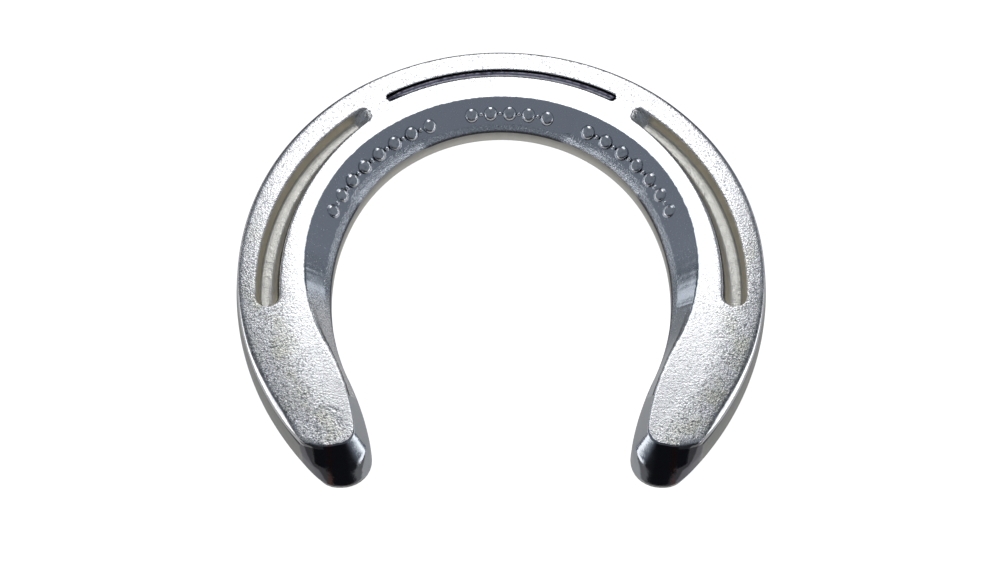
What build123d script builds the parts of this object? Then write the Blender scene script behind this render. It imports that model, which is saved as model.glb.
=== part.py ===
from build123d import *
from math import cos, radians, sin
import os

# A wide-web aluminium horseshoe for the show ring: a cast shoe with two nail
# creases and a seated inner edge, and a steel wear strip pressed in across the
# toe. The frame: the hoof side lies on z = 0, the ground side faces +Z, the toe
# points along +Y, and the origin is under the middle of the shoe.

# Driving dimensions, in millimetres and degrees
length = 115.8          # toe to heel ends, over the hoof side
thickness = 9.5
toe_web = 22.0          # hoof-side width of the metal at the toe
toe_draft = 1.2         # how far the ground side stands in from the hoof side at the toe
toe_rim = 13.6          # flat ground rim at the toe, outside the seat
seat_depth = 5.0        # how far the seat drops to the upright inner wall
heel_slope = 7.5        # run of the sloping heel ends
roll_radius = 1.2       # rolled edge round the ground side
foot_radius = 0.5       # eased edge round the hoof side
heel_ease = 0.5         # what that edge takes off the length at the heels

# Outlines as tangent arcs, from the toe centre to past the right heel: a radius
# and a turn each, where a positive turn bends away from the other branch.
foot_outer_arcs = ((68.8, -32.0), (60.4, -58.7), (73.1, -51.0))
ground_outer_arcs = ((68.1, -27.3), (60.0, -53.0), (66.7, -56.0))
foot_inner_arcs = ((39.8, -62.6), (52.3, -53.2), (62.9, 28.0))
seat_rim_arcs = ((49.7, -37.3), (44.2, -82.3), (61.2, 34.0))
foot_heel_radii = (5.2, 7.0)      # outer and inner heel corners on the hoof side
ground_heel_radii = (3.2, 4.0)    # the same on the ground side

# Creases: grooves with leaning walls, in which the nail heads sit
crease_centre = (0.0, -7.9)
crease_outer_radius = 59.1
crease_inner_centre = (4.2, -7.5)
crease_inner_radius = 57.6
crease_toe_angle = 55.0           # above the X axis about the crease centre
crease_heel_angle = -6.9
crease_depth = 3.2
crease_wall_run = 1.2             # how far the walls lean in from rim to floor
crease_toe_run = 3.6              # the same at the sloping toe end
crease_rim_corners = (1.7, 2.5)   # corner radii at the toe end and the heel end
crease_floor_corners = (0.6, 1.3)

# Steel wear strip and its slot, close to the line of the creases' outer edges
strip_radius = 58.1
strip_width = 1.8
strip_half_angle = 28.6
slot_depth = 4.6
strip_recess = 0.3
strip_chamfer = 0.3

half_length = length / 2
wall_height = thickness - seat_depth
wall_share = wall_height / thickness
cutter_rise = 1.0                 # how far cutters stand clear of the ground side
outer_toe_y = half_length
ground_toe_y = half_length - toe_draft
foot_heel_y = -half_length - heel_ease
ground_heel_y = heel_slope - half_length


def part_way(foot_value, ground_value):
    """Return the value, or values, at the foot of the seat between the two sides' values."""
    if isinstance(foot_value, tuple):
        return tuple(part_way(foot, ground) for foot, ground in zip(foot_value, ground_value))
    return foot_value + wall_share * (ground_value - foot_value)


def tangent_arcs(start, arcs):
    """Draw a chain of tangent arcs that sets out along +X, and return its end."""
    point, heading = start, (1, 0)
    for radius, turn in arcs:
        arc = JernArc(start=point, tangent=heading, radius=radius, arc_size=turn)
        point, heading = arc @ 1, arc % 1
    return point


def horseshoe_outline(toe_y, outer_arcs, inner_toe_y, inner_arcs, heel_y, heel_radii):
    """Fill the sketch with a horseshoe that ends at heel_y with rounded heel corners."""
    with BuildLine() as outline:
        outer_end = tangent_arcs((0, toe_y), outer_arcs)
        inner_end = tangent_arcs((0, inner_toe_y), inner_arcs)
        Line(outer_end, inner_end)
        mirror(about=Plane.YZ)
    make_face(outline.edges())
    with Locations((0, heel_y)):
        Rectangle(2 * length, 2 * length, align=(Align.CENTER, Align.MIN), mode=Mode.INTERSECT)
    outer_radius, inner_radius = heel_radii
    corners = vertices().group_by(Axis.Y)[0].sort_by(lambda corner: abs(corner.X))
    fillet(corners[2:], radius=outer_radius)
    corners = vertices().group_by(Axis.Y)[0].sort_by(lambda corner: abs(corner.X))
    fillet(corners[:2], radius=inner_radius)


def crease_outline(run, toe_run, corner_radii):
    """Fill the sketch with the left crease, drawn in by run, and by toe_run at its toe end."""
    with Locations(crease_centre):
        Circle(crease_outer_radius - run)
    with Locations(crease_inner_centre):
        Circle(crease_inner_radius + run, mode=Mode.SUBTRACT)
    toe_angle = radians(crease_toe_angle) - toe_run / crease_outer_radius
    heel_angle = radians(crease_heel_angle) + run / crease_outer_radius
    centre_x, centre_y = crease_centre
    toe_corner, heel_corner = (
        (centre_x - length * cos(angle), centre_y + length * sin(angle))
        for angle in (toe_angle, heel_angle)
    )
    Polygon(crease_centre, toe_corner, heel_corner, align=None, mode=Mode.INTERSECT)
    toe_radius, heel_radius = corner_radii
    fillet(vertices().sort_by(Axis.Y)[-2:], radius=toe_radius)
    fillet(vertices().sort_by(Axis.Y)[:2], radius=heel_radius)


# The tool that cuts both creases
with BuildPart() as crease_cutter:
    with BuildSketch(Plane.XY.offset(thickness - crease_depth)):
        crease_outline(crease_wall_run, crease_toe_run, crease_floor_corners)
    with BuildSketch(Plane.XY.offset(thickness)) as crease_rim:
        crease_outline(0, 0, crease_rim_corners)
    with BuildSketch(Plane.XY.offset(thickness + cutter_rise)):
        add(crease_rim.sketch)
    loft(ruled=True)
    mirror(about=Plane.YZ)

# The shoe's body: drafted outer wall, sloping heels, upright inner wall and the
# seat above it, all ruled between three outlines
with BuildPart() as shoe_body:
    with BuildSketch(Plane.XY):
        horseshoe_outline(
            outer_toe_y,
            foot_outer_arcs,
            half_length - toe_web,
            foot_inner_arcs,
            foot_heel_y,
            foot_heel_radii,
        )
    with BuildSketch(Plane.XY.offset(wall_height)):
        horseshoe_outline(
            part_way(outer_toe_y, ground_toe_y),
            part_way(foot_outer_arcs, ground_outer_arcs),
            half_length - toe_web,
            foot_inner_arcs,
            part_way(foot_heel_y, ground_heel_y),
            part_way(foot_heel_radii, ground_heel_radii),
        )
    with BuildSketch(Plane.XY.offset(thickness)):
        horseshoe_outline(
            ground_toe_y,
            ground_outer_arcs,
            ground_toe_y - toe_rim,
            seat_rim_arcs,
            ground_heel_y,
            ground_heel_radii,
        )
    loft(ruled=True)
    fillet(edges().group_by(Axis.Z)[-1], radius=roll_radius)
    fillet(edges().group_by(Axis.Z)[0], radius=foot_radius)
    add(crease_cutter.part, mode=Mode.SUBTRACT)
    with BuildSketch(Plane.XY.offset(thickness - slot_depth)) as slot_outline:
        with BuildLine(mode=Mode.PRIVATE) as strip_line:
            CenterArc(crease_centre, strip_radius, 90 - strip_half_angle, 2 * strip_half_angle)
        SlotArc(strip_line.wires()[0], strip_width)
    extrude(amount=slot_depth + cutter_rise, mode=Mode.SUBTRACT)
shoe_body.part.label = "shoe_body"

# The wear strip fills its slot wall to wall and stops just under the ground side
with BuildPart() as toe_insert:
    add(slot_outline.sketch)
    extrude(amount=slot_depth - strip_recess)
    chamfer(edges().group_by(Axis.Z)[0], length=strip_chamfer)
toe_insert.part.label = "toe_insert"

os.makedirs("parts", exist_ok=True)
export_step(shoe_body.part, "parts/shoe_body.step")
export_step(toe_insert.part, "parts/toe_insert.step")
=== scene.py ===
"""Looks for a wide-web aluminium horseshoe that lies hoof side down.

The cast body and the steel wear strip stand for the two parts of the frame, and
carry the casting's pebbled skin, the raised border on the seat and the marks of
use that the plain parts leave out. All sizes are in millimetres until a mesh is
made, where they turn into metres.
"""

import logging
import math
from dataclasses import dataclass, field
from enum import Enum
from functools import cached_property
from typing import ClassVar

import bmesh
import bpy
import numpy as np
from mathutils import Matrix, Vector, noise


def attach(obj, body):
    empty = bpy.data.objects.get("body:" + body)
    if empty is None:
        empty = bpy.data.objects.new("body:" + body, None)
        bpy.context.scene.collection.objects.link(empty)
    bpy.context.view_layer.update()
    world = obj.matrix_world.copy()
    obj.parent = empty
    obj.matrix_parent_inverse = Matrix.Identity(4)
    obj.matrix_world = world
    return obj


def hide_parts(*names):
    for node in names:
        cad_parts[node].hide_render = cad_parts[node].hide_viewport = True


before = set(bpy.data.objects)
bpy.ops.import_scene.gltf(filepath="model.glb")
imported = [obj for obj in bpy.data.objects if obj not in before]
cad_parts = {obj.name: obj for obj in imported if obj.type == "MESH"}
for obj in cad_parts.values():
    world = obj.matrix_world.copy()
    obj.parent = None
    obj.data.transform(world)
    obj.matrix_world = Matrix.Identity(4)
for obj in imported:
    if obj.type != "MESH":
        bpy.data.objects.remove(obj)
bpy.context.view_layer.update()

MM = 0.001
WELD = 2e-7
QUARTER_Y = -30.0
LOG = logging.getLogger("horseshoe")

Array = np.ndarray
Socket = bpy.types.NodeSocket
Arcs = tuple[tuple[float, float], ...]
Triple = tuple[float, float, float]

# Painted shade: the outer wall's grey is the cast metal's colour darkened to stand for the darker
# reflection that the walls show.
SHADED_WALL_GREY: Triple = (0.46, 0.47, 0.445)
HUB_Y = -7.9


class Side(Enum):
    """The two edges of the shoe's web."""

    OUTER = 1
    INNER = -1


class Level(Enum):
    """The three heights between which the body's walls run straight."""

    FOOT = "foot"
    SEAT_FOOT = "seat foot"
    GROUND = "ground"


class Region(Enum):
    """The faces of the body, each with its own finish. The value is its material index."""

    GROUND_FACE = 0
    CREASE = 1
    SEAT = 2
    INNER_WALL = 3
    OUTER_WALL = 4
    HEEL = 5
    HOOF_FACE = 6
    ROLL = 7


def smooth(low: float, high: float, value: Array) -> Array:
    """Ease from 0 to 1.

    Args:
        low: The value that gives 0.
        high: The value that gives 1; it may be below low.
        value: The values to ease.

    Returns:
        The eased values.
    """
    share = np.clip((value - low) / (high - low), 0.0, 1.0)
    return share * share * (3.0 - 2.0 * share)


def grain(points: Array, size: float, seed: float) -> Array:
    """Sample smooth noise of about -1 to 1.

    Args:
        points: Places in millimetres, one row each.
        size: The width of one grain in millimetres.
        seed: A shift that makes the pattern differ.

    Returns:
        One value per point.
    """
    shift = Vector((seed, 2.0 * seed, 3.0 * seed))
    return np.array([noise.noise(Vector(point) / size + shift) for point in points])


# --- form


@dataclass(frozen=True)
class Outline:
    """The shoe's outline at one height, as tangent arcs on its right half.

    An arc is a radius in millimetres and a turn in degrees. A chain of arcs sets
    out at the toe along +X, and its last arc runs past the heel line.
    """

    outer_toe_y: float
    outer_arcs: Arcs
    inner_toe_y: float
    inner_arcs: Arcs
    heel_y: float
    heel_radii: tuple[float, float]

    def edge(self, side: Side, spacing: float = 0.15) -> Array:
        """Follow one edge from the toe round its heel corner to the heel line.

        Args:
            side: The edge to follow.
            spacing: The distance between neighbouring points.

        Returns:
            Points, one row each.
        """
        outer = side is Side.OUTER
        place = np.array((0.0, self.outer_toe_y if outer else self.inner_toe_y))
        arcs = self.outer_arcs if outer else self.inner_arcs
        runs: list[Array] = []
        heading = 0.0
        for radius, turn in arcs:
            bend = math.copysign(radius, turn)
            centre = place + bend * np.array((-math.sin(heading), math.cos(heading)))
            count = max(3, round(radius * math.radians(abs(turn)) / spacing))
            angles = heading + math.radians(turn) * np.linspace(0.0, 1.0, count)
            run = centre + bend * np.stack((np.sin(angles), -np.cos(angles)), 1)
            runs.append(run[:-1])
            place, heading = run[-1], heading + math.radians(turn)
        corner_radius = self.heel_radii[0 if outer else 1]
        reach = arcs[-1][0] - corner_radius
        corner_y = self.heel_y + corner_radius
        across = math.sqrt(reach * reach - (corner_y - centre[1]) ** 2)
        corner = np.array((centre[0] + side.value * across, corner_y))
        spoke = (corner - centre) / reach
        touch = corner + spoke * corner_radius
        runs[-1] = runs[-1][runs[-1][:, 1] > touch[1]]
        first = math.atan2(spoke[1], spoke[0])
        if not outer:
            first %= 2.0 * math.pi
        last = -math.pi / 2.0 if outer else 1.5 * math.pi
        count = max(8, round(corner_radius * abs(last - first) / spacing))
        angles = np.linspace(first, last, count)
        runs.append(corner + corner_radius * np.stack((np.cos(angles), np.sin(angles)), 1))
        return np.concatenate(runs)

    def heel_round(self) -> Array:
        """Return the closed outline of the right half, from the outer toe to the inner toe."""
        return np.concatenate((self.edge(Side.OUTER), self.edge(Side.INNER)[::-1]))


@dataclass(frozen=True)
class Groove:
    """A groove along the middle of the web: its ends in degrees, and how it falls."""

    toe_end: float
    heel_end: float
    toe_round: float
    heel_round: float
    depth: float
    wall_run: float
    toe_run: float
    rim_ease: float

    def end_distance(self, angle: Array, radius: float) -> tuple[Array, Array]:
        """Measure how far stations lie inside the two ends.

        Args:
            angle: Station angles in degrees, falling from toe to heel.
            radius: The radius on which the distance is measured.

        Returns:
            The distances from the toe end and the heel end, negative outside.
        """
        scale = math.radians(radius)
        return (self.toe_end - angle) * scale, (angle - self.heel_end) * scale

    def fullness(self, angle: Array, radius: float) -> Array:
        """Say how much of its width the groove has at each station, 0 to 1.

        Args:
            angle: Station angles in degrees.
            radius: The radius on which the ends are rounded.

        Returns:
            The shares, which fall to 0 along round ends.
        """
        from_toe, from_heel = self.end_distance(angle, radius)
        toe = 1.0 - np.clip(from_toe / self.toe_round, 0.0, 1.0)
        heel = 1.0 - np.clip(from_heel / self.heel_round, 0.0, 1.0)
        return np.sqrt(np.clip(1.0 - toe * toe, 0.0, 1.0) * np.clip(1.0 - heel * heel, 0.0, 1.0))

    def end_angles(self, radius: float) -> Array:
        """Place close stations round both ends.

        Args:
            radius: The radius of the stations' ring.

        Returns:
            Station angles in degrees.
        """
        turn = np.radians(np.linspace(0.0, 90.0, 10))
        outside = np.array((-0.55, -0.3, -0.14, -0.05))
        inside = 1.0 - np.cos(turn)
        toe = np.concatenate((outside, self.toe_round * inside))
        heel = np.concatenate((outside, self.heel_round * inside))
        scale = math.radians(radius)
        return np.concatenate((self.toe_end - toe / scale, self.heel_end + heel / scale))

    def drop(self, inside: Array, from_toe: Array) -> Array:
        """Work out how far the surface falls below the ground face.

        Args:
            inside: The distance inside the rim, negative outside it.
            from_toe: The distance inside the toe end.

        Returns:
            The fall in millimetres.
        """
        eased = 0.5 * (inside + np.sqrt(inside * inside + self.rim_ease**2))
        share = np.minimum(eased / self.wall_run, np.maximum(from_toe, eased) / self.toe_run)
        share = np.where(inside < 0.0, eased / self.wall_run, share)
        softness = 0.12
        gap = np.clip(softness - np.abs(share - 1.0), 0.0, None)
        return self.depth * (np.minimum(share, 1.0) - gap * gap / (4.0 * softness))


@dataclass(frozen=True)
class ShoeForm:
    """The body's driving sizes, the same as the frame's parts."""

    length: float = 115.8
    thickness: float = 9.5
    toe_web: float = 22.0
    toe_draft: float = 1.2
    toe_rim: float = 13.6
    seat_depth: float = 5.0
    heel_slope: float = 7.5
    heel_ease: float = 0.3
    foot_radius: float = 0.5
    foot_outer_arcs: Arcs = ((68.8, -32.0), (60.4, -58.7), (73.1, -51.0))
    ground_outer_arcs: Arcs = ((68.1, -27.3), (60.0, -53.0), (66.7, -56.0))
    foot_inner_arcs: Arcs = ((39.8, -62.6), (52.3, -53.2), (62.9, 28.0))
    seat_rim_arcs: Arcs = ((49.7, -37.3), (44.2, -82.3), (61.2, 34.0))
    foot_heel_radii: tuple[float, float] = (5.2, 7.0)
    ground_heel_radii: tuple[float, float] = (3.2, 4.0)
    hub: tuple[float, float] = (0.0, HUB_Y)
    crease_outer_radius: float = 59.1
    crease_inner_hub: tuple[float, float] = (-4.2, -7.5)
    crease_inner_radius: float = 57.6
    strip_radius: float = 58.1
    slot_width: float = 1.8
    crease: Groove = Groove(55.0, -6.9, 1.8, 2.85, 3.2, 1.2, 3.6, 0.16)
    slot: Groove = Groove(90.0 + 28.6, 90.0 - 29.4, 0.9, 0.9, 4.6, 0.05, 0.05, 0.02)
    heel_pole: tuple[float, float] = (42.6, -40.0)

    @property
    def seat_foot(self) -> float:
        """Height of the edge between the seat and the inner wall."""
        return self.thickness - self.seat_depth

    def height(self, level: Level) -> float:
        """Return the height of a level over the hoof side."""
        return {Level.FOOT: 0.0, Level.SEAT_FOOT: self.seat_foot, Level.GROUND: self.thickness}[level]

    def outline(self, level: Level) -> Outline:
        """Draw the outline at one level.

        Args:
            level: The height to draw.

        Returns:
            The outline, its walls part way between hoof and ground side.
        """
        share = self.height(level) / self.thickness

        def part(foot: float, ground: float) -> float:
            """Return the value at this level."""
            return foot + share * (ground - foot)

        def parts(foot: Arcs, ground: Arcs) -> Arcs:
            """Return the arcs at this level."""
            return tuple((part(f[0], g[0]), part(f[1], g[1])) for f, g in zip(foot, ground))

        seated = level is Level.GROUND
        half = self.length / 2.0
        return Outline(
            part(half, half - self.toe_draft),
            parts(self.foot_outer_arcs, self.ground_outer_arcs),
            half - self.toe_draft - self.toe_rim if seated else half - self.toe_web,
            self.seat_rim_arcs if seated else self.foot_inner_arcs,
            part(-half - self.heel_ease, self.heel_slope - half),
            parts((self.foot_heel_radii,), (self.ground_heel_radii,))[0],
        )

    def crease_inner(self, angle: Array) -> Array:
        """Return the radius of the crease's inner rim about the hub.

        Args:
            angle: Station angles in degrees.

        Returns:
            The radii in millimetres.
        """
        ray = np.stack((np.cos(np.radians(angle)), np.sin(np.radians(angle))), 1)
        offset = np.array(self.crease_inner_hub) - np.array(self.hub)
        along = ray @ offset
        return along + np.sqrt(along * along - offset @ offset + self.crease_inner_radius**2)

    def middle(self, angle: Array) -> Array:
        """Return the radius of the web's mid-line, on which the grooves are centred.

        Args:
            angle: Station angles in degrees.

        Returns:
            The radii in millimetres.
        """
        ends = np.array((self.crease.toe_end, self.crease.heel_end))
        crease = (self.crease_outer_radius + self.crease_inner(ends)) / 2.0
        pole = np.array(self.heel_pole) - np.array(self.hub)
        pole_angle = math.degrees(math.atan2(pole[1], pole[0]))
        knots = np.array((pole_angle, ends[1] - 3.0, ends[0] + 1.0, 60.0, 90.0))
        radii = np.array((math.hypot(*pole), crease[1], crease[0], self.strip_radius, self.strip_radius))
        return np.interp(angle, knots, radii)


def reach(edge: Array, origin: Array, angle: Array) -> Array:
    """Measure how far rays travel from one point to an edge.

    Args:
        edge: Points of the edge, whose direction from the origin turns steadily.
        origin: Where the rays start.
        angle: The rays' directions in degrees.

    Returns:
        The distances in millimetres.
    """
    offset = edge - origin
    turn = np.degrees(np.unwrap(np.arctan2(offset[:, 1], offset[:, 0])))
    turn += 360.0 * round((float(np.mean(angle)) - float(np.mean(turn))) / 360.0)
    order = np.argsort(turn)
    return np.interp(angle, turn[order], np.hypot(offset[:, 0], offset[:, 1])[order])


@dataclass
class Stations:
    """Places along the right branch at which the body's section is drawn."""

    form: ShoeForm
    toe_step: float = 0.62
    heel_step: float = 0.5
    fan_count: int = 34
    angle: Array = field(init=False)
    start: Array = field(init=False)
    turn: dict[Side, Array] = field(init=False)
    reach: dict[tuple[Side, Level], Array] = field(init=False)

    def __post_init__(self) -> None:
        """Space the stations, and measure the way to each edge."""
        form = self.form
        hub, pole = np.array(form.hub), np.array(form.heel_pole)
        pole_angle = math.degrees(math.atan2(*(pole - hub)[::-1]))
        ring = self._ring(pole_angle)
        heel = form.outline(Level.GROUND)
        heel_middle = (heel.edge(Side.OUTER)[-1] + heel.edge(Side.INNER)[-1]) / 2.0
        down = math.degrees(math.atan2(*(heel_middle - pole)[::-1]))
        share = np.linspace(0.0, 1.0, self.fan_count + 1)[1:]
        fan = {
            Side.OUTER: pole_angle + (down - pole_angle) * share,
            Side.INNER: pole_angle - 180.0 + (down - pole_angle + 180.0) * share,
        }
        radius = form.middle(ring)
        ray = np.stack((np.cos(np.radians(ring)), np.sin(np.radians(ring))), 1)
        self.angle = np.concatenate((ring, np.full(self.fan_count, pole_angle)))
        self.start = np.concatenate((hub + radius[:, None] * ray, np.tile(pole, (self.fan_count, 1))))
        self.turn = {
            Side.OUTER: np.concatenate((ring, fan[Side.OUTER])),
            Side.INNER: np.concatenate((ring - 180.0, fan[Side.INNER])),
        }
        self.reach = {}
        for level in Level:
            outline = form.outline(level)
            round_heel = outline.heel_round()
            low = round_heel[round_heel[:, 1] < pole[1] + 8.0]
            for side in Side:
                edge = outline.edge(side)
                offset = edge - hub
                bearing = np.degrees(np.arctan2(offset[:, 1], offset[:, 0]))
                past = np.nonzero(bearing < pole_angle - 2.0)[0]
                upper = edge[: past[0]] if len(past) else edge
                ringed = side.value * (reach(upper, hub, ring) - radius)
                fanned = reach(low, pole, fan[side])
                self.reach[side, level] = np.concatenate((ringed, fanned))

    def _ring(self, pole_angle: float) -> Array:
        """Space the stations between the toe and the heel pole.

        Args:
            pole_angle: The bearing of the heel pole from the hub.

        Returns:
            Falling angles in degrees.
        """
        radius = self.form.strip_radius
        close = np.concatenate(
            [groove.end_angles(radius) for groove in (self.form.crease, self.form.slot)]
        )
        close = close[(close < 90.0) & (close > pole_angle)]
        angles, angle = [90.0], 90.0
        while angle > pole_angle:
            share = (90.0 - angle) / (90.0 - pole_angle)
            step = self.toe_step + (self.heel_step - self.toe_step) * share
            angle -= math.degrees(step / radius)
            angles.append(angle)
        even = np.array(angles[:-2])
        gap = np.abs(even[:, None] - close[None, :]).min(1)
        even = even[(gap > math.degrees(0.25 / radius)) | (even == 90.0)]
        return np.sort(np.concatenate((even, close, (pole_angle,))))[::-1]

    def __len__(self) -> int:
        """Count the stations."""
        return len(self.angle)

    def places(self, mirror: float) -> Array:
        """Return the starting points on one half as points in space; mirror is -1 on the left."""
        return np.pad(self.start * (mirror, 1.0), ((0, 0), (0, 1)))

    @property
    def fanned(self) -> Array:
        """How many stations past the heel pole each one is, negative before it."""
        return np.arange(len(self)) - len(self) + self.fan_count


def eased_corner(
    before: Array,
    corner: Array,
    after: Array,
    setback: float | Array,
    steps: int,
) -> Array:
    """Round one corner of every section.

    Args:
        before: The section's point before the corner, one row per station.
        corner: The corner.
        after: The point after it.
        setback: How far from the corner the round begins and ends, in millimetres.
        steps: How many points the round gets.

    Returns:
        Stations, points, coordinates.
    """
    back, ahead = before - corner, after - corner
    back_length = np.linalg.norm(back, axis=1, keepdims=True)
    ahead_length = np.linalg.norm(ahead, axis=1, keepdims=True)
    reach_back = np.minimum(np.reshape(setback, (-1, 1)), 0.45 * back_length) / back_length
    reach_ahead = np.minimum(np.reshape(setback, (-1, 1)), 0.45 * ahead_length) / ahead_length
    first, last = corner + back * reach_back, corner + ahead * reach_ahead
    rounds = []
    for share in np.linspace(0.0, 1.0, steps):
        lead, trail = 1.0 - share, share
        rounds.append(lead * lead * first + 2.0 * lead * trail * corner + trail * trail * last)
    return np.stack(rounds, 1)


def steps(count: int) -> Array:
    """Return shares from 0 up to, but not with, 1."""
    return np.linspace(0.0, 1.0, count + 1)[:-1]


def between(first: Array, last: Array, shares: Array) -> Array:
    """Fill in points between two points of every section.

    Args:
        first: The points where share is 0, one row per station.
        last: The points where share is 1.
        shares: Where the new points lie.

    Returns:
        Stations, points, coordinates.
    """
    return first[:, None, :] + (last - first)[:, None, :] * shares[None, :, None]


# --- meshes


def made(name: str, body: bmesh.types.BMesh, finishes: tuple["Finish", ...]) -> bpy.types.Object:
    """Turn a mesh under construction into an object in the scene.

    Args:
        name: The piece's name.
        body: The mesh, which is used up.
        finishes: Its finishes in order.

    Returns:
        The object.
    """
    mesh = bpy.data.meshes.new(name)
    bmesh.ops.recalc_face_normals(body, faces=body.faces)
    body.to_mesh(mesh)
    body.free()
    for finish in finishes:
        mesh.materials.append(finish.material())
    piece = bpy.data.objects.new(name, mesh)
    bpy.context.scene.collection.objects.link(piece)
    return piece


@dataclass
class Strip:
    """A run of points across a section, with the region of the faces that follow them."""

    points: Array
    region: Region


@dataclass
class CastBody:
    """The cast shoe: ground face with its creases, seat, walls and hoof face."""

    form: ShoeForm
    land_width: float = 2.1
    toe_facet: float = 0.7
    facet_width: float = 1.5
    facet_fall: float = 0.97
    camber: float = 0.24
    rim_setback: float = 0.3
    rim_wobble: float = 0.16
    inner_lean: tuple[float, float] = (0.8, 1.5)
    outer_lean: tuple[float, float] = (0.7, 0.8)
    land_zones: tuple[tuple[float, float], ...] = ((-66.0, -27.0), (21.0, 63.0))
    ejector_mark: tuple[float, float, float] = (-40.9, -45.4, 4.8)
    groove_shares: tuple[float, ...] = (0.0, 0.25, 0.45, 0.58, 0.68, 0.78, 0.87, 0.93, 0.965)
    rim_shares: tuple[float, ...] = (0.0, 0.012, 0.03, 0.065)
    heel_starts: ClassVar[dict[Side, int]] = {Side.OUTER: 15, Side.INNER: 4}
    heel_regions: tuple[Region, ...] = (Region.OUTER_WALL, Region.SEAT, Region.INNER_WALL)
    stations: Stations = field(init=False)

    def build(self) -> bpy.types.Object:
        """Make the body's mesh, rough it like a casting and dress it.

        Returns:
            The piece.
        """
        self.stations = Stations(self.form)
        body = bmesh.new()
        for mirror in (1.0, -1.0):
            for side in Side:
                self._lay(body, side, mirror)
        bmesh.ops.remove_doubles(body, verts=body.verts, dist=WELD)
        for face in body.faces:
            face.smooth = True
        finishes = {
            Region.GROUND_FACE: GroundFinish(),
            Region.CREASE: CreaseFinish(),
            Region.SEAT: SeatFinish(),
            Region.INNER_WALL: InnerWallFinish(),
            Region.OUTER_WALL: OuterWallFinish(),
            Region.HEEL: HeelFinish(),
            Region.HOOF_FACE: HoofFinish(),
            Region.ROLL: RollFinish(),
        }
        piece = made("shoe_casting", body, tuple(finishes[region] for region in Region))
        self._roughen(piece.data)
        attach(piece, "root")
        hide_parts("shoe_body")
        return piece

    def _edge_sizes(self) -> tuple[Array, ...]:
        """Size the outer edge: rolled at the toe, bevelled along the heel quarters.

        Returns:
            The bevel's width, the setbacks of the rounds above and below it, and how far
            the ground face has fallen away at the edge.
        """
        stations = self.stations
        bearing = np.degrees(np.arctan2(stations.start[:, 0], stations.start[:, 1] - HUB_Y))
        heel = smooth(84.0, 124.0, bearing) * smooth(0.46, -0.3, stations.fanned / stations.fan_count)
        facet = self.toe_facet + (self.facet_width - self.toe_facet) * heel
        quarter = smooth(12.0, 60.0, bearing)
        crown = 0.5 + 0.8 * quarter - 0.9 * heel
        return facet, crown, 0.5 - 0.36 * heel, 0.05 + 0.09 * quarter + self.camber * heel

    def _land(self, mirror: float) -> Array:
        """Say where the narrow land at the foot of the seat is.

        Args:
            mirror: -1 on the left half, else 1.

        Returns:
            One share per station, 0 to 1.
        """
        bearing = mirror * np.degrees(np.arctan2(*self.stations.start.T))
        land = np.zeros(len(bearing))
        for low, high in self.land_zones:
            land += smooth(low, low + 5.0, bearing) * smooth(high, high - 5.0, bearing)
        return land

    def _sections(self, side: Side, mirror: float) -> list[Strip]:
        """Draw every station's section from the mid-line over one edge to the hoof side.

        Args:
            side: The edge that they cross.
            mirror: -1 on the left half, else 1.

        Returns:
            Strips of points, as distance from the mid-line and height.
        """
        form, stations = self.form, self.stations
        corner = {
            level: np.stack((stations.reach[side, level], np.full(len(stations), form.height(level))), 1)
            for level in Level
        }
        if side is Side.INNER:
            corner[Level.GROUND][:, 0] += self.rim_wobble * grain(stations.places(mirror), 0.9, 2.6)
        middle_top = np.tile((0.0, form.thickness), (len(stations), 1))
        middle_foot = np.zeros((len(stations), 2))
        slope = np.clip(corner[Level.SEAT_FOOT][:, 0] - corner[Level.FOOT][:, 0], None, 0.0)
        setback = form.foot_radius * (1.0 - 0.35 * slope)
        foot = eased_corner(corner[Level.SEAT_FOOT], corner[Level.FOOT], middle_foot, setback, 4)
        if side is Side.OUTER:
            facet, crown, edge, camber = self._edge_sizes()
            inner = corner[Level.GROUND] - np.stack((facet, camber), 1)
            outer = corner[Level.GROUND] - np.stack((0.0 * facet, camber + facet * self.facet_fall), 1)
            wall = corner[Level.SEAT_FOOT]
            roll = eased_corner(middle_top, inner, outer, crown, 6)
            brink = eased_corner(inner, outer, wall, edge, 4)
            strips = self._grooved(side, roll[:, 0])
            strips += [
                Strip(roll[:, :-1], Region.GROUND_FACE),
                Strip(between(roll[:, -1], brink[:, 0], steps(2)), Region.ROLL),
                Strip(brink[:, :-1], Region.ROLL),
                Strip(between(brink[:, -1], wall, steps(5)), Region.OUTER_WALL),
                Strip(between(wall, foot[:, 0], steps(5)), Region.OUTER_WALL),
            ]
        else:
            ground, base = corner[Level.GROUND], corner[Level.SEAT_FOOT]
            rim = eased_corner(middle_top, ground, base, self.rim_setback, 5)
            strips = self._grooved(side, rim[:, 0])
            strips += self._seat(corner, rim, foot, mirror)
        hoof = between(foot[:, -1], middle_foot, np.array((0.1, 0.4, 0.7, 1.0)))
        strips += [Strip(foot, Region.HOOF_FACE), Strip(hoof, Region.HOOF_FACE)]
        return strips

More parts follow.
